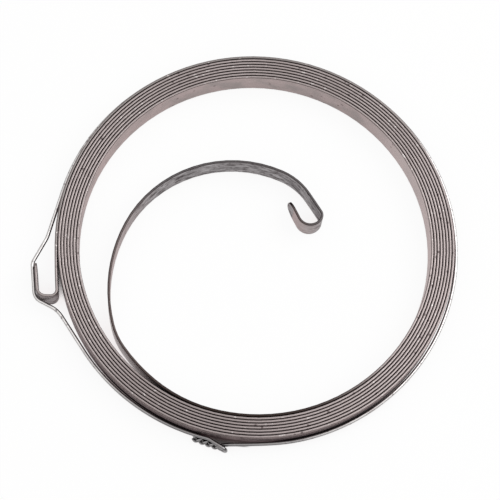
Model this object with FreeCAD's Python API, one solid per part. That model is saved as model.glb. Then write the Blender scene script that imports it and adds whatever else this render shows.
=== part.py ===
"""Recoil starter spring of a small engine: a wound strip of spring steel and the wire that keeps it wound.

Millimetres. The origin lies on the axis of the pack, in the plane of its lower edge, and +Z points up.
"""
import FreeCAD, Part
import os
import math

Vector = FreeCAD.Vector

# Spring strip
strip_thickness = 0.50
strip_height = 5.60
air_gap = 0.072

# Wound pack: the spiral is made of quarter arcs, counted from the bottom of the innermost turn
pack_bore_radius = 32.90
pack_quarters = 31
free_end_angle = 15.5

# Free inner end, from the pack to its tip: each bend's radius as a share of the bore radius, and its turn
free_end_bend_shares = (0.830, 0.997, 0.398, 0.854, 0.693, 0.3495)
free_end_bend_angles = (25.0, 15.0, 20.5, 41.3, 87.3, 33.4)

# Inner hook, which takes the pin of the rope spool
inner_hook_shank = 4.1
inner_hook_nose_radius = 1.45
inner_hook_nose_angle = 61.0
inner_hook_radius = 2.35
inner_hook_angle = 125.0
inner_hook_tongue = 4.05
inner_tip_corner = 2.2

# Outer hook, which drops into the slot of the starter housing
outer_leg_radius = 160.0
outer_leg_angle = 3.2
outer_hook_near_radius = 1.15
outer_hook_near_angle = 95.0
outer_hook_floor = 0.90
outer_hook_far_radius = 1.70
outer_hook_far_angle = 84.0
outer_hook_tongue = 5.0
outer_tip_corner = 1.1

# Retaining wire; its round section is built with even sides and the same area, within 0.02 mm of round
wire_diameter = 0.70
wire_level = 2.60
wire_clearance = 0.05
section_sides = 8
ring_slack = 0.20
tip_wrap_radius = 2.0
kink_radius = 4.0
kink_run = 4.7
kink_swing = 18.9
press_radius = 5.5
press_run = 2.2
press_swing = 16.6

# Ends of the wire: both leave the pack, the near one after a bend away from it
near_end_angle = 255.5
near_end_radius = 2.0
near_end_bend_angle = 19.0
near_end_run = 2.7
ends_apart = 16.3
far_end_share = 0.30
far_end_rise = 9.0
far_end_level_share = 0.37

# Twist that joins the two ends, laid back under the near end
twist_pitch = 2.5
twist_turns = 2
twist_outward = 0.05
twist_swing = 13.0
twist_clearance = 0.08
strand_clearance = 0.04
twist_lead = 1.6
points_per_turn = 6
loop_share = 0.98
corner_share = 0.45

# Values that follow from the ones above
half_strip = strip_thickness / 2
wire_radius = wire_diameter / 2
turn_pitch = strip_thickness + air_gap
quarter_turn = 90
quarter_growth = turn_pitch / 4
first_quarter_radius = pack_bore_radius + half_strip + quarter_growth / 2
wire_to_strip = half_strip + wire_radius + wire_clearance
ring_radius = first_quarter_radius + (pack_quarters - 1) * quarter_growth + wire_to_strip
far_end_angle = near_end_angle + math.degrees(ends_apart / ring_radius)
section_step = math.tau / section_sides
section_radius = wire_radius * math.sqrt(section_step / math.sin(section_step))


def unit(degrees):
    return Vector(math.cos(math.radians(degrees)), math.sin(math.radians(degrees)), 0)


def left_of(degrees):
    return unit(degrees + 90)


class Walk:
    """A route in plan made of straights and tangent bends, which can be moved to either side."""

    def __init__(self, start, heading):
        self.place = Vector(start)
        self.heading = heading
        self.stretches = []

    def straight(self, length):
        begin = (Vector(self.place), self.heading)
        self.place = self.place + unit(self.heading) * length
        self.stretches.append((None, [begin, (Vector(self.place), self.heading)]))

    def bend(self, radius, turn):
        """Walk a bend; a positive turn goes to the left."""
        reach = math.copysign(radius, turn)
        centre = self.place + left_of(self.heading) * reach
        stations = []
        for heading in (self.heading, self.heading + turn / 2, self.heading + turn):
            stations.append((centre - left_of(heading) * reach, heading))
        self.stretches.append((centre, stations))
        self.place, self.heading = stations[-1]

    def edges(self, offset):
        """The edges of the route, moved to its left by offset."""
        made = []
        for centre, stations in self.stretches:
            points = [place + left_of(heading) * offset for place, heading in stations]
            edge = Part.Arc(*points) if centre else Part.LineSegment(*points)
            made.append(edge.toShape())
        return made

    def moves(self, level):
        """The same route as straight and turning moves at a level."""
        made = []
        for centre, stations in self.stretches:
            (begin, begin_heading), (finish, finish_heading) = stations[0], stations[-1]
            if centre:
                turn = finish_heading - begin_heading
                axis = Vector(0, 0, math.copysign(1, turn))
                made.append(("turn", centre + Vector(0, 0, level), axis, abs(turn)))
            else:
                made.append(("straight", finish - begin))
        return made

    def end_cap(self):
        side = left_of(self.heading) * half_strip
        return Part.LineSegment(self.place + side, self.place - side).toShape()


def pack_start():
    return Vector(quarter_growth / 2, quarter_growth / 2 - first_quarter_radius, 0)


def walk_outwards():
    """From the bottom of the innermost turn, round the pack, to the tip of the outer hook."""
    route = Walk(pack_start(), 0)
    for quarter in range(pack_quarters):
        route.bend(first_quarter_radius + quarter * quarter_growth, quarter_turn)
    route.bend(outer_leg_radius, outer_leg_angle)
    route.bend(outer_hook_near_radius, -outer_hook_near_angle)
    route.straight(outer_hook_floor)
    route.bend(outer_hook_far_radius, -outer_hook_far_angle)
    route.straight(outer_hook_tongue)
    return route


def walk_inwards():
    """From the same place, along the free end, to the tip of the inner hook."""
    route = Walk(pack_start(), 180)
    route.bend(first_quarter_radius - quarter_growth, -free_end_angle)
    for share, angle in zip(free_end_bend_shares, free_end_bend_angles):
        route.bend(share * pack_bore_radius, -angle)
    route.straight(inner_hook_shank)
    route.bend(inner_hook_nose_radius, -inner_hook_nose_angle)
    route.bend(inner_hook_radius, -inner_hook_angle)
    route.straight(inner_hook_tongue)
    return route


def round_tip(solid, route, corner):
    """Round the two corners at the end of a route, seen on the flat of the strip."""
    chosen = []
    for edge in solid.Edges:
        middle = (edge.Vertexes[0].Point + edge.Vertexes[-1].Point) / 2
        aside = Vector(middle.x - route.place.x, middle.y - route.place.y, 0)
        across = abs(edge.tangentAt(edge.FirstParameter).dot(left_of(route.heading)))
        if aside.Length < half_strip and across > math.cos(math.radians(45)):
            chosen.append(edge)
    return solid.makeFillet(corner, chosen).Solids[0]


def spring_strip(outwards, inwards):
    inner_side = outwards.edges(half_strip) + inwards.edges(-half_strip)
    outer_side = outwards.edges(-half_strip) + inwards.edges(half_strip)
    outline = inner_side + outer_side + [outwards.end_cap(), inwards.end_cap()]
    face = Part.Face(Part.Wire(Part.__sortEdges__(outline)))
    solid = face.extrude(Vector(0, 0, strip_height))
    solid = round_tip(solid, outwards, outer_tip_corner)
    return round_tip(solid, inwards, inner_tip_corner)


def tangent_heading(first, second):
    """Heading of the run between two wrapped circles, each (centre, radius, +1 left or -1 right)."""
    between = second[0] - first[0]
    bearing = math.degrees(math.atan2(between.y, between.x))
    swing = (first[2] * first[1] - second[2] * second[1]) / between.Length
    return bearing + math.degrees(math.asin(swing))


def leave_point(circle, heading):
    centre, radius, side = circle
    return centre - left_of(heading) * radius * side


def ring_circles(outwards):
    """The circles that the wire follows: pack, kink, hook tip, hook corner, pressed bend and pack again."""
    tip, heading = outwards.place, outwards.heading
    pack = (Vector(0, ring_slack, 0), ring_radius, 1)
    wrap_centre = tip - left_of(heading) * (tip_wrap_radius - wire_to_strip)
    kink_apart = math.hypot(tip_wrap_radius + kink_radius, kink_run)
    kink_centre = wrap_centre + unit(heading + kink_swing) * kink_apart
    corner_centre = outwards.stretches[-2][0]
    corner_radius = outer_hook_far_radius + wire_to_strip
    press_apart = math.hypot(corner_radius + press_radius, press_run)
    press_centre = corner_centre - unit(heading - press_swing) * press_apart
    kink = (kink_centre, kink_radius, -1)
    wrap = (wrap_centre, tip_wrap_radius, 1)
    corner = (corner_centre, corner_radius, 1)
    press = (press_centre, press_radius, -1)
    return [pack, kink, wrap, corner, press, pack]


def walk_ring(outwards):
    """From where the far end leaves the pack, once round, to the root of the twist."""
    circles = ring_circles(outwards)
    pack = circles[0]
    heading = far_end_angle - 360 + 90
    route = Walk(leave_point(pack, heading), heading)
    for here, there in zip(circles, circles[1:]):
        leaving = tangent_heading(here, there)
        turn = (leaving - route.heading) % 360
        if here[2] < 0:
            turn = turn - 360
        route.bend(here[1], turn)
        arrival = leave_point(there, leaving)
        route.straight((arrival - route.place).Length)
    route.bend(ring_radius, (near_end_angle + 90 - route.heading) % 360)
    route.bend(near_end_radius, -near_end_bend_angle)
    route.straight(near_end_run)
    return route


def rounded_run(points, radii):
    """Moves from the first point to the last, each inner corner rounded by a tangent arc."""
    moves = []
    last = points[0]
    for before, corner, after, radius in zip(points, points[1:], points[2:], radii):
        into = (before - corner).normalize()
        out = (after - corner).normalize()
        half_turn = (math.pi - into.getAngle(out)) / 2
        reach = radius * math.tan(half_turn)
        centre = corner + (into + out).normalize() * (radius / math.cos(half_turn))
        moves.append(("straight", corner + into * reach - last))
        moves.append(("turn", centre, out.cross(into), math.degrees(2 * half_turn)))
        last = corner + out * reach
    moves.append(("straight", points[-1] - last))
    return moves


def corner_radii(points):
    """The radius that fits each inner corner when every arc takes its share of the shorter run."""
    radii = []
    for before, corner, after in zip(points, points[1:], points[2:]):
        into = before - corner
        out = after - corner
        half_turn = (math.pi - into.getAngle(out)) / 2
        radii.append(corner_share * min(into.Length, out.Length) / math.tan(half_turn))
    return radii


def twist_points(ring):
    """Corner points of both twisted ends, from the ring to the cut tips."""
    root = ring.place + Vector(0, 0, wire_level)
    ahead = unit(ring.heading)
    along = unit(ring.heading + twist_swing)
    outward = left_of(ring.heading + twist_swing) * -1
    strand_radius = (wire_radius + strand_clearance / 2) / math.cos(math.pi / points_per_turn)
    axis_distance = strand_radius + wire_diameter + twist_clearance
    drop = math.sqrt(axis_distance ** 2 - twist_outward ** 2)
    down = (outward * twist_outward - Vector(0, 0, drop)).normalize()
    sideways = along.cross(down)
    axis_start = root - ahead * wire_diameter + down * axis_distance
    near, far = [], []
    for number in range(points_per_turn * twist_turns + 1):
        phase = math.tau * number / points_per_turn
        on_axis = axis_start - along * twist_pitch * number / points_per_turn
        arm = (down * math.cos(phase) + sideways * math.sin(phase)) * strand_radius
        near.append(on_axis + arm)
        far.append(on_axis - arm)
    loop = (axis_distance + strand_radius) / 2
    near = [root, root + ahead * loop, root + ahead * loop + down * loop * 2] + near
    slope = along * twist_pitch / math.tau + sideways * strand_radius
    lead = far[0] + slope.normalize() * twist_lead
    ring_start, ring_heading = ring.stretches[0][1][0]
    first = ring_start + Vector(0, 0, wire_level)
    second = first - unit(ring_heading) * (ends_apart * far_end_share)
    third = second - unit(ring_heading - far_end_rise) * (ends_apart * far_end_level_share)
    far = [first, second, third, lead] + far
    return near, far, loop


def tube(start, moves):
    """A wire from start, its section carried through straight and turning moves."""
    along = moves[0][1]
    arm = along.cross(Vector(0, 0, 1)).normalize() * section_radius
    corners = []
    for number in range(section_sides + 1):
        turned = FreeCAD.Rotation(along, math.degrees(section_step) * (number + 0.5))
        corners.append(start + turned.multVec(arm))
    rim = Part.makePolygon(corners)
    faces = [Part.Face(rim)]
    for kind, *values in moves:
        if kind == "straight":
            faces += rim.extrude(*values).Faces
            rim = rim.translated(*values)
        else:
            faces += rim.revolve(*values).Faces
            rim = rim.rotated(*values)
    faces.append(Part.Face(rim))
    shell = Part.Shell(faces)
    shell.sewShape()
    return Part.Solid(shell)


def retaining_wire(outwards):
    ring = walk_ring(outwards)
    near, far, loop = twist_points(ring)
    near_radii = corner_radii(near)
    near_radii[:2] = [loop * loop_share] * 2
    far.reverse()
    moves = rounded_run(far, corner_radii(far)) + ring.moves(wire_level) + rounded_run(near, near_radii)
    return tube(far[0], moves)


def main():
    outwards = walk_outwards()
    inwards = walk_inwards()
    os.makedirs("parts", exist_ok=True)
    nodes = {
        "spring_strip": spring_strip(outwards, inwards),
        "retaining_wire": retaining_wire(outwards),
    }
    for name, solid in nodes.items():
        box = solid.BoundBox
        print(name, solid.ShapeType, solid.isValid(), round(solid.Volume, 3),
              [round(v, 2) for v in (box.XMin, box.XMax, box.YMin, box.YMax, box.ZMin, box.ZMax)])
        solid.exportStep(os.path.join("parts", name + ".step"))


main()
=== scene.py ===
import math
import bmesh
import bpy
from mathutils import Matrix, Vector


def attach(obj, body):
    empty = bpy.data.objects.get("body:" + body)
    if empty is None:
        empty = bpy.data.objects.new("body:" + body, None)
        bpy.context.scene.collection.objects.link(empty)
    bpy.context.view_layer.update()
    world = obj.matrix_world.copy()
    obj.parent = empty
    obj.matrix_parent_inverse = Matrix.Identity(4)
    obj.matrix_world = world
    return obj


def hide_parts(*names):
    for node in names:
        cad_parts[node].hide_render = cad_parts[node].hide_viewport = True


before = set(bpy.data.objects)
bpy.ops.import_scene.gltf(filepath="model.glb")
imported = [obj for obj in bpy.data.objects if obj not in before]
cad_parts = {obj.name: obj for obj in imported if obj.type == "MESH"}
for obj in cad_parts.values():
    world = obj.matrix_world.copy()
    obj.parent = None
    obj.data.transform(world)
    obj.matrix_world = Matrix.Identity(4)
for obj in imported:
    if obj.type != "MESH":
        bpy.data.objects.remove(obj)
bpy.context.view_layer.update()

# Spring strip: one length of cold-rolled spring steel with rounded slit edges, hardened and tempered. It is
# wound on edge into nearly eight turns that almost touch. The free inner end is left open and hooked for the
# rope spool, and the outer end is bent back into the hook that the housing holds.
strip_thickness = 0.0005
strip_height = 0.0056
edge_round = 0.00020
end_break = 0.00005
end_shrink = (0.72, 0.72, 0.95)
bore_radius = 0.0329
turn_pitch = 0.000572
quarter_turns = 31

half_strip = strip_thickness / 2
quarter_growth = turn_pitch / 4
first_radius = bore_radius + half_strip + quarter_growth / 2
pack_start = Vector((quarter_growth / 2, quarter_growth / 2 - first_radius, 0))

# Bends are a radius and the degrees turned, to the left where the degrees are above zero
free_end_bends = [(first_radius - quarter_growth, -15.5), (0.830 * bore_radius, -25.0),
                  (0.997 * bore_radius, -15.0), (0.398 * bore_radius, -20.5), (0.854 * bore_radius, -41.3),
                  (0.693 * bore_radius, -87.3), (0.3495 * bore_radius, -33.4)]
spool_hook_shank = 0.0041
spool_hook_bends = [(0.00145, -61), (0.00235, -125)]
spool_hook_tongue = 0.00405
spool_tip_corner = 0.0022
outer_leg = (0.160, 3.2)
housing_hook_near_bend = (0.00115, -95)
housing_hook_floor = 0.00090
housing_hook_far_bend = (0.00170, -84)
housing_hook_tongue = 0.0050
housing_tip_corner = 0.0011

# How finely bends and straights are stepped
step_length = 0.0022
step_turn = 6
corner_steps = 9


def unit(degrees):
    """The level direction at an angle from +X."""
    return Vector((math.cos(math.radians(degrees)), math.sin(math.radians(degrees)), 0))


class Bender:
    """Feeds the strip's section through straights and bends in plan, and notes the length fed so far."""

    def __init__(self, mesh, rim, place, heading, way):
        self.mesh, self.rim, self.place, self.heading = mesh, rim, place.copy(), heading
        self.way = way
        self.fed = 0.0

    def note(self, before, length, steps):
        """Writes the length fed on each vertex made since the mesh had this many."""
        along = self.mesh.verts.layers.float["along"]
        self.mesh.verts.ensure_lookup_table()
        ring = (len(self.mesh.verts) - before) // steps
        for number in range(before, len(self.mesh.verts)):
            step = (number - before) // ring + 1
            self.mesh.verts[number][along] = self.way * (self.fed + length * step / steps)
        self.fed += length

    def straight(self, length, steps=0):
        steps = steps or max(1, round(abs(length) / step_length))
        move = unit(self.heading) * (length / steps)
        before = len(self.mesh.verts)
        for _ in range(steps):
            made = bmesh.ops.extrude_edge_only(self.mesh, edges=self.rim)["geom"]
            verts = [v for v in made if isinstance(v, bmesh.types.BMVert)]
            bmesh.ops.translate(self.mesh, verts=verts, vec=move)
            self.rim = [e for e in made if isinstance(e, bmesh.types.BMEdge)]
        self.place += move * steps
        self.note(before, length, steps)

    def bend(self, radius, turn):
        centre = self.place + unit(self.heading + 90) * math.copysign(radius, turn)
        length = radius * math.radians(abs(turn))
        steps = max(math.ceil(length / step_length), math.ceil(abs(turn) / step_turn))
        before = len(self.mesh.verts)
        made = bmesh.ops.spin(self.mesh, geom=self.rim, cent=centre, axis=(0, 0, 1),
                              angle=math.radians(turn), steps=steps, use_merge=False)["geom_last"]
        self.rim = [e for e in made if isinstance(e, bmesh.types.BMEdge)]
        self.place = centre + Matrix.Rotation(math.radians(turn), 3, "Z") @ (self.place - centre)
        self.heading += turn
        self.note(before, length, steps)


def round_off(bender, corner):
    """Rounds the two corners at a strip's end, seen on its flat, and breaks the end's edges."""
    mid_height = Matrix.Translation((0, 0, -strip_height / 2))
    height = strip_height
    for number in range(1, corner_steps + 1):
        angle = math.radians(90 / corner_steps * number)
        last = math.radians(90 / corner_steps * (number - 1))
        bender.straight(corner * (math.sin(angle) - math.sin(last)), 1)
        verts = list({v for e in bender.rim for v in e.verts})
        lower = strip_height - 2 * corner * (1 - math.cos(angle))
        bmesh.ops.scale(bender.mesh, verts=verts, vec=(1, 1, lower / height), space=mid_height)
        height = lower
    bender.straight(end_break, 1)
    verts = list({v for e in bender.rim for v in e.verts})
    at_end = mid_height @ Matrix.Translation(-bender.place)
    bmesh.ops.scale(bender.mesh, verts=verts, vec=end_shrink, space=at_end)
    bmesh.ops.contextual_create(bender.mesh, geom=bender.rim)


strip = bmesh.new()
strip.verts.layers.float.new("along")
corners = [strip.verts.new(pack_start + Vector((0, y, z))) for y, z in
           ((-half_strip, 0), (half_strip, 0), (half_strip, strip_height), (-half_strip, strip_height))]
strip.faces.new(corners)
bmesh.ops.bevel(strip, geom=corners, offset=edge_round, affect="VERTICES", segments=5, profile=0.5,
                material=-1)
bmesh.ops.delete(strip, geom=strip.faces[:], context="FACES_ONLY")
section = strip.edges[:]

outwards = Bender(strip, section, pack_start, 0, 1)
for quarter in range(quarter_turns):
    outwards.bend(first_radius + quarter * quarter_growth, 90)
outwards.bend(*outer_leg)
outwards.bend(*housing_hook_near_bend)
outwards.straight(housing_hook_floor)
outwards.bend(*housing_hook_far_bend)
hook_corner = outwards.place + unit(outwards.heading - 90) * housing_hook_far_bend[0]
hook_tip = outwards.place + unit(outwards.heading) * housing_hook_tongue
outwards.straight(housing_hook_tongue - housing_tip_corner - end_break)
round_off(outwards, housing_tip_corner)

inwards = Bender(strip, section, pack_start, 180, -1)
for radius, turn in free_end_bends:
    inwards.bend(radius, turn)
inwards.straight(spool_hook_shank)
for radius, turn in spool_hook_bends:
    inwards.bend(radius, turn)
inwards.straight(spool_hook_tongue - spool_tip_corner - end_break)
round_off(inwards, spool_tip_corner)
bmesh.ops.recalc_face_normals(strip, faces=strip.faces[:])
for face in strip.faces:
    face.smooth = True


def set_down(shape, name, mesh_name):
    """Makes a finished shape an object of the scene."""
    data = bpy.data.meshes.new(mesh_name)
    shape.to_mesh(data)
    piece = bpy.data.objects.new(name, data)
    bpy.context.scene.collection.objects.link(piece)
    return piece


spring = set_down(strip, "tempered_spring", "spring_strip_steel")
spring.modifiers.new("edge shading", "WEIGHTED_NORMAL")


def add(kind, inputs=(), **settings):
    """Adds a node to the material in hand; each input is a socket and a value or another node's output."""
    node = tree.nodes.new(kind)
    for name, value in settings.items():
        setattr(node, name, value)
    for socket, value in inputs:
        if isinstance(value, bpy.types.NodeSocket):
            tree.links.new(value, node.inputs[socket])
        else:
            node.inputs[socket].default_value = value
    return node


def ramp(value, low, high, to_low=0.0, to_high=1.0):
    """A smooth change between two values."""
    return add("ShaderNodeMapRange", [("Value", value), ("From Min", low), ("From Max", high),
                                      ("To Min", to_low), ("To Max", to_high)],
               interpolation_type="SMOOTHSTEP").outputs[0]


def sums(operation, first, second):
    return add("ShaderNodeMath", [(0, first), (1, second)], operation=operation).outputs[0]


def times(first, *others):
    """Multiplies shares."""
    for other in others:
        first = sums("MULTIPLY", first, other)
    return first


def noise(place, scale, detail=3.0, rough=0.5):
    return add("ShaderNodeTexNoise", [("Vector", place), ("Scale", scale), ("Detail", detail),
                                      ("Roughness", rough)]).outputs["Fac"]


def blend(share, first, second):
    """Goes from the first colour to the second by a share."""
    node = add("ShaderNodeMix", data_type="RGBA", clamp_factor=True)
    for socket, value in ((node.inputs[0], share), (node.inputs[6], first), (node.inputs[7], second)):
        if isinstance(value, bpy.types.NodeSocket):
            tree.links.new(value, socket)
        else:
            socket.default_value = value
    return node.outputs[2]


def one_axis(vector, axis):
    return add("ShaderNodeSeparateXYZ", [(0, vector)]).outputs[axis]


def drawn_out(length, height, share):
    """A place for noise that is drawn out along a strip or a wire; a low share makes long streaks."""
    return add("ShaderNodeCombineXYZ", [(0, times(length, share)), (1, height), (2, 0.0)]).outputs[0]


def distance_from(place):
    return add("ShaderNodeVectorMath", [(0, spot), (1, place)], operation="DISTANCE").outputs["Value"]


def finish_metal(colour, sheen, roughness, relief, strength, depth):
    """Makes the material in hand bare metal; its sheen is the colour at a glancing angle."""
    bump = add("ShaderNodeBump", [("Strength", strength), ("Distance", depth),
                                  ("Height", relief)]).outputs[0]
    shader = tree.nodes["Principled BSDF"]
    shader.inputs["Metallic"].default_value = 1.0
    tree.links.new(colour, shader.inputs["Base Color"])
    tree.links.new(sheen, shader.inputs["Specular Tint"])
    tree.links.new(roughness, shader.inputs["Roughness"])
    tree.links.new(bump, shader.inputs["Normal"])


# Colours of the strip's flats, scuffs and slit edges, and of the marks and painted shade over both
rolled_steel = (0.38, 0.322, 0.318, 1)
rolled_pale = (0.48, 0.415, 0.41, 1)
rolled_cloudy = (0.33, 0.30, 0.295, 1)
# Painted highlight for the bore's right wall
bore_highlight_colour = (0.64, 0.585, 0.58, 1)
scuff_dark = (0.125, 0.117, 0.120, 1)
scuff_pale = (0.42, 0.405, 0.412, 1)
scuff_wiped = (0.53, 0.52, 0.525, 1)
scuff_smudge = (0.090, 0.083, 0.085, 1)
slit_edge = (0.375, 0.330, 0.325, 1)
slit_edge_pale = (0.43, 0.378, 0.372, 1)
slit_edge_cloudy = (0.33, 0.285, 0.28, 1)
# The next is the slit edges' darker tone towards the lower left
slit_edge_darkened = (0.27, 0.232, 0.228, 1)
# The next is a painted highlight on the slit edges at the lower right
slit_edge_highlight = (0.53, 0.466, 0.458, 1)
slit_edge_last_reach = (0.25, 0.228, 0.222, 1)
# The next two are painted shade for the rounded corners between the turns
deep_corner_shade = (0.120, 0.093, 0.091, 1)
light_corner_shade = (0.24, 0.202, 0.197, 1)
bare_rub = (0.66, 0.62, 0.61, 1)
# Painted highlight for the start of the free end
free_end_highlight_colour = (0.74, 0.725, 0.72, 1)
rust_pit = (0.07, 0.05, 0.05, 1)
# The next two are painted shade on the free end's top edges
free_edge_shade_brown = (0.060, 0.043, 0.040, 1)
free_edge_shade_grey = (0.064, 0.060, 0.063, 1)
# Painted shade in the gap where the free end leaves the pack
gap_shade = (0.022, 0.014, 0.011, 1)
# The next two are painted shade on the outermost wall and behind the wire
outer_wall_shade = (0.205, 0.172, 0.174, 1)
behind_wire_shade = (0.032, 0.028, 0.030, 1)

# Their colours at a glancing angle
rolled_sheen = (0.92, 0.82, 0.81, 1)
scuff_sheen = (0.85, 0.83, 0.84, 1)
smudge_sheen = (0.30, 0.285, 0.29, 1)
free_end_highlight_sheen = (0.93, 0.92, 0.92, 1)
gap_shade_sheen = (0.60, 0.56, 0.56, 1)
outer_wall_shade_sheen = (0.50, 0.43, 0.44, 1)
behind_wire_sheen = (0.05, 0.044, 0.047, 1)

# Where marks change along the strip, in metres from where the pack begins and below zero on the free end
bore_turn_ends = (0.200, 0.208)
free_reach_begins = (-0.066, -0.046)
spool_hook_begins = (-0.108, -0.100)
spool_tip_begins = (-0.1086, -0.1083)
last_reach_begins = (1.600, 1.660)
last_reach_ends = (1.722, 1.727)
housing_hook_begins = (1.7235, 1.7300)
free_end_highlight_begins = (-0.012, -0.003)
free_end_highlight_ends = (-0.042, -0.030)
free_edge_shade_begins = (0.000, 0.040)
gap_shade_begins = (0.008, 0.030)
gap_shade_ends = (-0.030, -0.010)
outer_wall_begins = (1.478, 1.490)
outer_wall_ends = (1.7200, 1.7280)

# Middles of the marks and of the painted light and shade that lie at one place
bore_highlight_middle = (0.0325, 0.003, 0.0028)
darker_edges_at_lower_left = (-0.014, -0.033, 0.0056)
edge_highlight_at_lower_right = (0.028, -0.023, 0.0056)
behind_wire_shade_near_twist = (-0.0035, -0.0375, 0.003)

steel = bpy.data.materials.new("tempered_strip_steel")
steel.use_nodes = True
tree = steel.node_tree
spot = add("ShaderNodeTexCoord").outputs["Object"]
level = one_axis(spot, "Z")
tilt = sums("ABSOLUTE", one_axis(add("ShaderNodeNewGeometry").outputs["Normal"], "Z"), 0.0)
on_edge = ramp(tilt, 0.55, 0.95)
on_flat = ramp(tilt, 0.03, 0.22, 1, 0)
along = add("ShaderNodeAttribute", attribute_name="along").outputs["Fac"]

# Rolled flats: fine grain along the strip, cloudy spots, and a painted highlight, a brighter reflection, on
# the bore's right
grain = noise(drawn_out(along, level, 0.045), 5200, 4, 0.6)
mottle = noise(spot, 210, 4, 0.55)
steel_colour = blend(ramp(grain, 0.35, 0.68), rolled_steel, rolled_pale)
steel_colour = blend(ramp(mottle, 0.42, 0.66), steel_colour, rolled_cloudy)
bore_highlight = times(ramp(distance_from(bore_highlight_middle), 0.012, 0.030, 0.65, 0),
                 ramp(along, *bore_turn_ends, 1, 0))
steel_colour = blend(bore_highlight, steel_colour, bore_highlight_colour)

# Scuffs where the strip was gripped to bend it: the free loop's end, its tip and the housing hook
scuffs = noise(drawn_out(along, level, 0.14), 1900, 5, 0.68)
wiped_place = drawn_out(along, level, 0.45)
wiped = ramp(noise(wiped_place, 760, 4, 0.6), 0.46, 0.62)
smudges = ramp(noise(wiped_place, 1050, 4, 0.65), 0.47, 0.62)
scuffed = blend(ramp(scuffs, 0.36, 0.64), scuff_dark, scuff_pale)
scuffed = blend(times(wiped, 0.55), scuffed, scuff_wiped)
scuffed = blend(times(smudges, 0.55), scuffed, scuff_smudge)
free_reach = times(ramp(along, *free_reach_begins, 1, 0), ramp(along, *spool_hook_begins))
spool_tip = ramp(along, *spool_tip_begins, 1, 0)
housing_hook = ramp(along, *housing_hook_begins)
hooks = sums("MAXIMUM", times(spool_tip, 0.8), times(housing_hook, 0.65))
gripped = sums("MAXIMUM", times(free_reach, 0.92), hooks)
steel_colour = blend(gripped, steel_colour, scuffed)

# Slit edges: brighter and nicked, darker towards the lower left, and with a painted highlight at the lower
# right
nicks = noise(spot, 1400, 2, 0.6)
edge_colour = blend(ramp(nicks, 0.35, 0.70), slit_edge, slit_edge_pale)
edge_colour = blend(ramp(noise(spot, 38, 2, 0.5), 0.45, 0.75), edge_colour, slit_edge_cloudy)
darkened_edges = ramp(distance_from(darker_edges_at_lower_left), 0.008, 0.024, 0.55, 0)
edge_colour = blend(darkened_edges, edge_colour, slit_edge_darkened)
# Painted highlight on the slit edges at the lower right
edge_highlight = ramp(distance_from(edge_highlight_at_lower_right), 0.012, 0.034, 0.30, 0)
edge_colour = blend(edge_highlight, edge_colour, slit_edge_highlight)
last_reach = times(ramp(along, *last_reach_begins), ramp(along, *last_reach_ends, 1, 0.30))
edge_colour = blend(last_reach, edge_colour, slit_edge_last_reach)

# Painted shade in the rounded corners, which draws the dark lines between the turns, then the edges over it
corner_shade = blend(ramp(noise(spot, 75, 2), 0.42, 0.62), deep_corner_shade, light_corner_shade)
steel_colour = blend(sums("SUBTRACT", 1.0, on_flat), steel_colour, corner_shade)
steel_colour = blend(on_edge, steel_colour, edge_colour)

# Small marks: bare rubs on the edges, a painted highlight on the start of the free end, and pits
rubbed = times(ramp(noise(spot, 1150, 1), 0.69, 0.75), on_edge)
steel_colour = blend(times(rubbed, 0.7), steel_colour, bare_rub)
free_end_highlight = times(ramp(along, *free_end_highlight_ends), ramp(along, *free_end_highlight_begins, 1, 0), on_flat)
steel_colour = blend(times(free_end_highlight, 0.8), steel_colour, free_end_highlight_colour)
pits = add("ShaderNodeTexVoronoi", [("Vector", spot), ("Scale", 560.0)]).outputs["Distance"]
pitted = times(ramp(pits, 0.08, 0.20, 1, 0), ramp(noise(spot, 90, 1), 0.45, 0.53))
steel_colour = blend(times(pitted, 0.75), steel_colour, rust_pit)

# Painted shade: the free end's top edges are painted dark, and so is the strip in the gap where the free end
# leaves the pack
free_edge_shade = times(ramp(along, *free_edge_shade_begins, 1, 0), ramp(tilt, 0.15, 0.45))
steel_colour = blend(times(free_edge_shade, 0.88), steel_colour, blend(free_reach, free_edge_shade_brown, free_edge_shade_grey))
shaded_gap = times(ramp(along, *gap_shade_ends), ramp(along, *gap_shade_begins, 1, 0))
steel_colour = blend(times(shaded_gap, 0.75), steel_colour, gap_shade)

# The outermost wall has painted shade from the wire's height up, darkest by the wire, and a dark line of
# painted shadow behind the wire, most of it on the near side
wire_level = 0.0026
behind_wire_shade_foot = (0.0006, 0.0014)
behind_wire_shade_top = (0.0024, 0.0034)
near_side = (-0.027, -0.017)
outer_wall = times(ramp(along, *outer_wall_begins), ramp(along, *outer_wall_ends, 1, 0.15))
uneven = times(ramp(level, 0.0010, 0.0023, 0.35, 1), ramp(noise(spot, 70, 2), 0.30, 0.60, 0.75, 1))
shaded_outer_wall = times(outer_wall, ramp(level, wire_level, strip_height, 1, 0.25), on_flat, uneven)
steel_colour = blend(shaded_outer_wall, steel_colour, outer_wall_shade)
shaded_behind_wire = times(outer_wall, ramp(level, *behind_wire_shade_top, 1, 0), ramp(level, *behind_wire_shade_foot),
                ramp(one_axis(spot, "Y"), *near_side, 1, 0.25),
                ramp(distance_from(behind_wire_shade_near_twist), 0.004, 0.010, 0.40, 0.92))
steel_colour = blend(shaded_behind_wire, steel_colour, behind_wire_shade)

# Smudges take the sheen away, and so do the painted shade in the gap, on the outer wall and behind the wire
steel_sheen = blend(gripped, rolled_sheen, blend(smudges, scuff_sheen, smudge_sheen))
steel_sheen = blend(free_end_highlight, steel_sheen, free_end_highlight_sheen)
steel_sheen = blend(shaded_gap, steel_sheen, gap_shade_sheen)
steel_sheen = blend(shaded_outer_wall, steel_sheen, outer_wall_shade_sheen)
steel_sheen = blend(shaded_behind_wire, steel_sheen, behind_wire_sheen)

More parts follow.
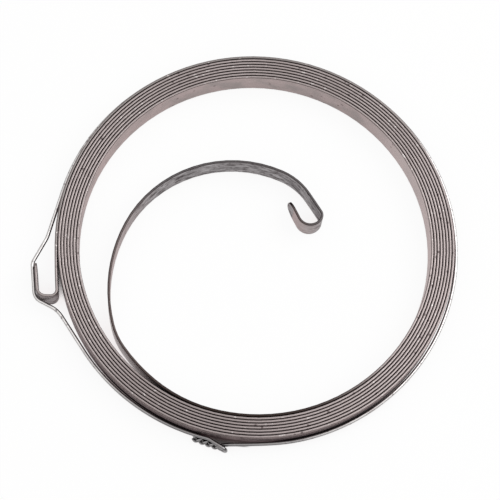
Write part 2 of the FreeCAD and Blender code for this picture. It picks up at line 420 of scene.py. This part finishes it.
steel_roughness = sums("ADD", ramp(grain, 0.3, 0.7, 0.26, 0.36), times(mottle, 0.10))
steel_relief = sums("ADD", times(grain, 0.6), times(nicks, 0.4))
finish_metal(steel_colour, steel_sheen, steel_roughness, steel_relief, strength=0.5, depth=0.000006)
spring.data.materials.append(steel)
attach(spring, "root")
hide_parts("spring_strip")

# Retaining wire: soft bright steel wire, put once round the pack to keep it wound until it is fitted.
# It is pressed in below the housing hook. Its two ends are twisted together with pliers, and the twist is
# folded back flat under the wire.
wire_radius = 0.00035
wire_gap = 0.00005
wire_sides = 20
ring_slack = 0.0002

# Round the tongue's tip, then the kink above the housing hook and the press below it: each one's bend, the
# straight run between it and the hook, and the angle between the tongue and the line to the bend's centre
wrap_radius = 0.0020
kink_radius = 0.0040
kink_run = 0.0047
kink_swing = 18.9
press_radius = 0.0055
press_run = 0.0022
press_swing = 16.6

# The near end leaves the pack at this angle from +X, and the far end meets it further round by this length
near_end_angle = 255.5
near_end_bend = (0.0020, -19)
near_end_run = 0.0027
ends_apart = 0.0163
far_end_swing = 9

# The twist starts below the near end's tip and runs back under it, at an angle
twist_pitch = 0.0025
twist_turns = 2
twist_swing = 13
twist_outward = 0.00005
twist_setback = 0.0007
strand_clearance = 0.00003
fold_clearance = 0.00014

# Where the far end leaves the pack and crosses the fold: back along the wire as a share of the distance
# between the ends, in towards the pack, and up
leaving_pack = (0.30, 0.00005, 0.00015)
crossing_fold = (0.37, 0.00025, 0.0001)

# How long the ends' soft bends keep the way in which they leave and arrive
fold_hold = 0.0003
strand_hold = 0.0009
crossing_hold_before = 0.0013
crossing_hold_after = 0.003
pack_hold = 0.0035

# How finely the wire's bends, twist, fold and soft bends are stepped
wire_step_length = 0.0009
wire_step_turn = 5
strand_steps = 56
fold_steps = 18
fold_ease_steps = 6
far_ease_steps = 14

wire_off = half_strip + wire_radius + wire_gap
ring_centre = Vector((0, ring_slack, 0))
ring_radius = first_radius + (quarter_turns - 1) * quarter_growth + wire_off

# Rounded places that the wire passes, each a centre, a radius, and 1 where it bends left or -1 where right
tongue_heading = outwards.heading
wrap = (hook_tip - unit(tongue_heading + 90) * (wrap_radius - wire_off), wrap_radius, 1)
to_kink = math.hypot(wrap_radius + kink_radius, kink_run)
kink = (wrap[0] + unit(tongue_heading + kink_swing) * to_kink, kink_radius, -1)
corner = (hook_corner, housing_hook_far_bend[0] + wire_off, 1)
to_press = math.hypot(corner[1] + press_radius, press_run)
press = (hook_corner - unit(tongue_heading - press_swing) * to_press, press_radius, -1)
pack = (ring_centre, ring_radius, 1)


def run_heading(first, second):
    """Heading of the straight run from one rounded place to the next."""
    between = second[0] - first[0]
    swing = (first[2] * first[1] - second[2] * second[1]) / between.length
    return math.degrees(math.atan2(between.y, between.x) + math.asin(swing))


class WirePlan:
    """Lays the wire's bends and straight runs end to end in plan."""

    def __init__(self, place, heading):
        self.points, self.heading = [place], heading

    def bend(self, radius, turn):
        centre = self.points[-1] + unit(self.heading + 90) * math.copysign(radius, turn)
        length = radius * math.radians(abs(turn))
        steps = max(math.ceil(length / wire_step_length), math.ceil(abs(turn) / wire_step_turn))
        arm = self.points[-1] - centre
        for number in range(1, steps + 1):
            self.points.append(centre + Matrix.Rotation(math.radians(turn * number / steps), 3, "Z") @ arm)
        self.heading += turn

    def run(self, length):
        self.points.append(self.points[-1] + unit(self.heading) * length)


ring_heading = near_end_angle + math.degrees(ends_apart / ring_radius) - 270
ring_start = ring_centre + unit(ring_heading - 90) * ring_radius
plan = WirePlan(ring_start, ring_heading)
for here, there in zip((pack, kink, wrap, corner, press), (kink, wrap, corner, press, pack)):
    leaving = run_heading(here, there)
    turn = (leaving - plan.heading) % 360
    if here[2] < 0:
        turn -= 360
    plan.bend(here[1], turn)
    arrival = there[0] + unit(leaving - 90) * there[1] * there[2]
    plan.run((arrival - plan.points[-1]).length)
plan.bend(ring_radius, (near_end_angle + 90 - plan.heading) % 360)
plan.bend(*near_end_bend)
plan.run(near_end_run)
route = [place + Vector((0, 0, wire_level)) for place in plan.points]

# The twist: two strands wind about one axis that lies under the near end and runs back along it
ahead = unit(plan.heading)
twist_axis = unit(plan.heading + twist_swing)
outward = unit(plan.heading + twist_swing - 90)
strand_radius = wire_radius + strand_clearance
axis_distance = strand_radius + 2 * wire_radius + fold_clearance
down = (outward * twist_outward - Vector((0, 0, axis_distance))).normalized()
sideways = twist_axis.cross(down)
axis_start = route[-1] - ahead * twist_setback + down * axis_distance
near_strand, far_strand = [], []
for number in range(strand_steps + 1):
    phase = twist_turns * math.tau * number / strand_steps
    on_axis = axis_start - twist_axis * twist_pitch * phase / math.tau
    arm = (down * math.cos(phase) + sideways * math.sin(phase)) * strand_radius
    near_strand.append(on_axis + arm)
    far_strand.append(on_axis - arm)

# The near end folds down and back to its strand
fold_radius = (axis_distance + strand_radius) / 2
fold_middle = route[-1] + down * fold_radius
for number in range(1, fold_steps + 1):
    phase = math.pi * number / fold_steps
    route.append(fold_middle - down * fold_radius * math.cos(phase) + ahead * fold_radius * math.sin(phase))


def ease(start, start_way, finish, finish_way, steps):
    """Points between two places, on a smooth bend that leaves and arrives in the given ways."""
    points = []
    for number in range(1, steps):
        t = number / steps
        points.append(start * (1 - t) ** 3 + (start + start_way) * 3 * t * (1 - t) ** 2
                      + (finish - finish_way) * 3 * t * t * (1 - t) + finish * t ** 3)
    return points


near_way = (near_strand[1] - near_strand[0]).normalized()
route += ease(route[-1], ahead * -fold_hold, near_strand[0], near_way * fold_hold, fold_ease_steps)
route += near_strand

# The far end leaves its strand, passes over the near end's fold and comes down to the pack
far_way = (far_strand[0] - far_strand[1]).normalized()
over_way = unit(ring_heading - far_end_swing)
back, inward, up = leaving_pack
off_pack = ring_start + Vector((0, inward, wire_level + up)) - unit(ring_heading) * ends_apart * back
back, inward, up = crossing_fold
over_fold = off_pack - over_way * ends_apart * back + Vector((0, inward, up))
far_end = far_strand[::-1]
far_end += ease(far_strand[0], far_way * strand_hold, over_fold, over_way * crossing_hold_before,
                far_ease_steps)
far_end += ease(over_fold, over_way * crossing_hold_after, ring_start + Vector((0, 0, wire_level)),
                unit(ring_heading) * pack_hold, far_ease_steps)
route = far_end + route

wire = bmesh.new()
wire_along = wire.verts.layers.float.new("along")
way = (route[1] - route[0]).normalized()
rim = bmesh.ops.create_circle(wire, cap_ends=False, segments=wire_sides, radius=wire_radius)["verts"]
turned = Vector((0, 0, 1)).rotation_difference(way).to_matrix()
bmesh.ops.rotate(wire, verts=rim, cent=(0, 0, 0), matrix=turned)
bmesh.ops.translate(wire, verts=rim, vec=route[0])
edges = wire.edges[:]
bmesh.ops.contextual_create(wire, geom=edges)
drawn = 0.0
for before, here, after in zip(route, route[1:], route[2:] + [route[-1] * 2 - route[-2]]):
    made = bmesh.ops.extrude_edge_only(wire, edges=edges)["geom"]
    rim = [v for v in made if isinstance(v, bmesh.types.BMVert)]
    edges = [e for e in made if isinstance(e, bmesh.types.BMEdge)]
    bmesh.ops.translate(wire, verts=rim, vec=here - before)
    next_way = ((here - before).normalized() + (after - here).normalized()).normalized()
    bmesh.ops.rotate(wire, verts=rim, cent=here, matrix=way.rotation_difference(next_way).to_matrix())
    way = next_way
    drawn += (here - before).length
    for v in rim:
        v[wire_along] = drawn
bmesh.ops.contextual_create(wire, geom=edges)
bmesh.ops.recalc_face_normals(wire, faces=wire.faces[:])
for face in wire.faces:
    face.smooth = len(face.verts) == 4
tie = set_down(wire, "twisted_tie_wire", "retaining_wire_steel")

# Colours of the wire, of what dulls it, and of the painted shade and reflection on its side towards the pack
drawn_steel = (0.66, 0.645, 0.64, 1)
drawn_bright = (0.86, 0.85, 0.84, 1)
tarnished = (0.46, 0.43, 0.42, 1)
handled_grey = (0.19, 0.183, 0.188, 1)
plier_bite = (0.30, 0.28, 0.28, 1)
pack_side_shade_colour = (0.06, 0.055, 0.058, 1)
bare_wire_sheen = (0.9, 0.9, 0.9, 1)
pack_side_sheen = (0.1, 0.1, 0.1, 1)
handled_place = (-0.009, -0.0385, 0.0015)

bright = bpy.data.materials.new("bright_drawn_wire")
bright.use_nodes = True
tree = bright.node_tree
spot = add("ShaderNodeTexCoord").outputs["Object"]
drawn_length = add("ShaderNodeAttribute", attribute_name="along").outputs["Fac"]

# Lines of the drawing die, tarnish, a grey handled stretch by the twist, and plier marks
die_lines = noise(drawn_out(drawn_length, one_axis(spot, "Z"), 0.03), 9000, 3, 0.6)
tarnish = noise(spot, 260, 4, 0.6)
plier_marks = noise(spot, 1500, 2, 0.5)
wire_colour = blend(ramp(die_lines, 0.35, 0.70), drawn_steel, drawn_bright)
wire_colour = blend(ramp(tarnish, 0.52, 0.72), wire_colour, tarnished)
handled = ramp(distance_from(handled_place), 0.006, 0.034, 1, 0)
wire_colour = blend(times(handled, 0.82), wire_colour, handled_grey)
wire_colour = blend(ramp(plier_marks, 0.60, 0.72), wire_colour, plier_bite)

# The side towards the pack is painted dark, a painted shade and a painted reflection of the dark pack
outward_way = add("ShaderNodeVectorMath", [(0, spot)], operation="NORMALIZE").outputs[0]
surface_way = add("ShaderNodeNewGeometry").outputs["Normal"]
facing_out = add("ShaderNodeVectorMath", [(0, surface_way), (1, outward_way)],
                 operation="DOT_PRODUCT").outputs["Value"]
pack_side_shade = times(ramp(facing_out, -0.72, -0.02, 1, 0), 0.85)
wire_colour = blend(pack_side_shade, wire_colour, pack_side_shade_colour)
wire_sheen = blend(pack_side_shade, bare_wire_sheen, pack_side_sheen)

wire_roughness = ramp(tarnish, 0.35, 0.70, 0.14, 0.32)
wire_relief = sums("ADD", times(die_lines, 0.5), times(plier_marks, 0.5))
finish_metal(wire_colour, wire_sheen, wire_roughness, wire_relief, strength=0.4, depth=0.000005)
tie.data.materials.append(bright)
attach(tie, "root")
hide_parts("retaining_wire")

# Table top: a white sheet that the spring is photographed on from above. It shows as clean white and keeps a
# little of the spring's own shadow, and painted shade darkens the narrow slits between the turns down to the
# sheet.
table_reach = 0.6
sheet_white = (0.90, 0.90, 0.90, 1)
shown_white = (1, 1, 1, 1)
# The next three are painted shade and shadow on the sheet
crevice_shade_colour = (0.92, 0.86, 0.86, 1)
slit_shade_colour = (0.05, 0.043, 0.043, 1)
twist_shadow_colour = (0.045, 0.038, 0.038, 1)
crevice_reach = 0.004
slit_reach = 0.0013
twist_shadow_middle = (-0.0055, -0.0376, 0.0)
pack_rim = (0.03785, 0.03810)
shown_to_camera = 0.92
shown_in_gloss = 0.6

table = bmesh.new()
bmesh.ops.create_grid(table, x_segments=1, y_segments=1, size=table_reach)
table_top = set_down(table, "white_table", "white_table")

paper = bpy.data.materials.new("white_table_sheet")
paper.use_nodes = True
tree = paper.node_tree
sheet = tree.nodes["Principled BSDF"]
sheet.inputs["Base Color"].default_value = sheet_white
sheet.inputs["Roughness"].default_value = 0.9
sheet.inputs["Specular IOR Level"].default_value = 0.0

# Painted shade: crevices a little warm and darker, and the slits between the turns and the place under the
# twist dark
crevice = add("ShaderNodeAmbientOcclusion", [("Distance", crevice_reach)], samples=8).outputs["AO"]
slit = add("ShaderNodeAmbientOcclusion", [("Distance", slit_reach)], samples=12).outputs["AO"]
shade = blend(ramp(crevice, 0.10, 0.55), crevice_shade_colour, shown_white)
shade = blend(ramp(slit, 0.22, 0.44), slit_shade_colour, shade)
spot = add("ShaderNodeTexCoord").outputs["Object"]
from_middle = add("ShaderNodeVectorMath", [(0, spot)], operation="LENGTH").outputs["Value"]
twist_shadow = times(ramp(distance_from(twist_shadow_middle), 0.0026, 0.0044, 1, 0),
                    ramp(from_middle, *pack_rim, 1, 0))
shade = blend(twist_shadow, shade, twist_shadow_colour)

# The camera and gloss see the sheet's white, while the spring's own light and shadow stay underneath
glow = add("ShaderNodeEmission", [("Color", shade)])
seen = add("ShaderNodeLightPath")
shown = sums("ADD", times(seen.outputs["Is Camera Ray"], shown_to_camera),
             times(seen.outputs["Is Glossy Ray"], shown_in_gloss))
mix = add("ShaderNodeMixShader", [(0, shown), (1, sheet.outputs[0]), (2, glow.outputs[0])])
tree.links.new(mix.outputs[0], tree.nodes["Material Output"].inputs["Surface"])
table_top.data.materials.append(paper)

# Studio: a pale light tent, bright overhead and dark at table height, and one soft round lamp high on the
# right. The camera sees plain white behind it.
lamp_width = 0.60
lamp_power = 1.75
lamp_place = (0.42, 0.15, 0.52)
tent_top = (1.0, 0.985, 0.98, 1)
tent_foot = (0.035, 0.033, 0.034, 1)
room = bpy.data.worlds.new("light_tent")
bpy.context.scene.world = room
room.use_nodes = True
tree = room.node_tree
background = tree.nodes["Background"]
skyward = one_axis(add("ShaderNodeTexCoord").outputs["Generated"], "Z")
tree.links.new(blend(ramp(skyward, 0.15, 0.71), tent_foot, tent_top), background.inputs["Color"])
backdrop = add("ShaderNodeBackground", [("Color", (1, 1, 1, 1))])
looked_at = add("ShaderNodeLightPath").outputs["Is Camera Ray"]
either = add("ShaderNodeMixShader", [(0, looked_at), (1, background.outputs[0]), (2, backdrop.outputs[0])])
tree.links.new(either.outputs[0], tree.nodes["World Output"].inputs["Surface"])

lamp_data = bpy.data.lights.new("soft_lamp", "AREA")
lamp_data.shape = "DISK"
lamp_data.size = lamp_width
lamp_data.energy = lamp_power
lamp = bpy.data.objects.new("soft_lamp", lamp_data)
bpy.context.scene.collection.objects.link(lamp)
lamp.location = lamp_place
lamp.rotation_euler = (-lamp.location).to_track_quat("-Z", "Y").to_euler()

# Camera: nearly overhead, leaning over from the near side and a little from the left, as in the photograph.
# Its lens follows from the photograph's width and focal length, both in pixels.
photo_width = 500
photo_focal_length = 2200
lean_to_near_side = 16.739
lean_to_right = -2.669
framing_aside = -0.000942
framing_up = 0.000252
camera_distance = 0.4192

camera_data = bpy.data.cameras.new("photo_camera")
camera_data.lens = camera_data.sensor_width * photo_focal_length / photo_width
camera = bpy.data.objects.new("photo_camera", camera_data)
bpy.context.scene.collection.objects.link(camera)
lean = (Matrix.Rotation(math.radians(lean_to_near_side), 4, "X")
        @ Matrix.Rotation(math.radians(lean_to_right), 4, "Y"))
camera.matrix_world = lean @ Matrix.Translation((framing_aside, framing_up, camera_distance))
bpy.context.scene.camera = camera
bpy.context.scene.view_settings.view_transform = "Standard"
